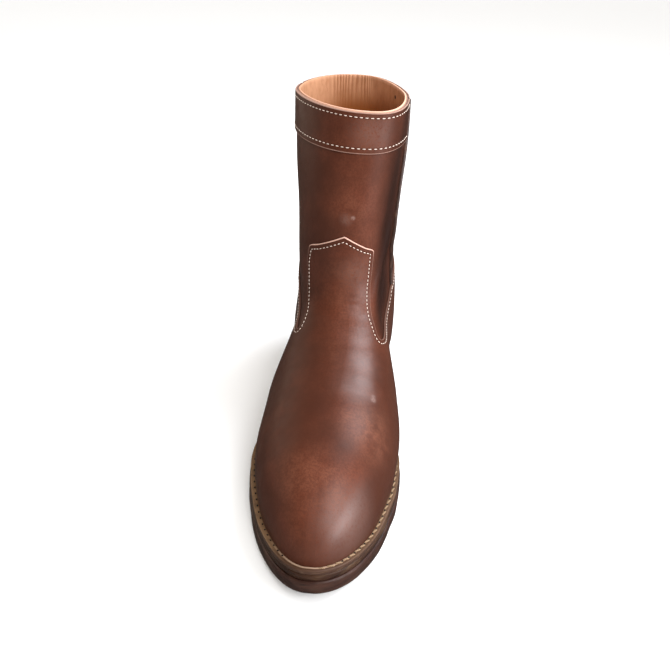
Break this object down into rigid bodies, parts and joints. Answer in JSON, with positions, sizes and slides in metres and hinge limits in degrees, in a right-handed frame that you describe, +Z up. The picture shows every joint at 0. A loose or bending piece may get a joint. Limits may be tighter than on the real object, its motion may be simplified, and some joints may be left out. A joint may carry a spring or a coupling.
{
  "type": "pull-on leather boot",
  "caption": "Right pull-on leather boot with a hollow shaft, pointed vamp tongue, banded collar, welted layered sole and stacked heel, worn on the foot.",
  "frame": {"origin": "on the floor, under the middle of the boot's box", "axes": "+Z up, toe towards -Y, inner side of the right foot towards +X"},
  "size_m": [0.1088, 0.3058, 0.252],
  "materials": {
    "upper": "oiled, soft gloss",
    "vamp": "oiled, soft gloss",
    "counter": "oiled, soft gloss",
    "collar_band": "oiled, soft gloss",
    "side_seam": "matt",
    "welt": "matt",
    "midsole": "waxed edge",
    "outsole": "waxed edge",
    "heel_stack": "waxed edge",
    "heel_top_lift": "matt",
    "insole": "matt"
  },
  "bodies": {
    "root": {"upper": "upper", "vamp": "vamp", "counter": "counter", "collar_band_front": "collar_band", "collar_band_back": "collar_band", "side_seam_medial": "side_seam", "side_seam_lateral": "side_seam", "welt": "welt", "midsole": "midsole", "outsole": "outsole", "heel_stack": "heel_stack", "heel_top_lift": "heel_top_lift", "insole": "insole"}
  },
  "joints": []
}
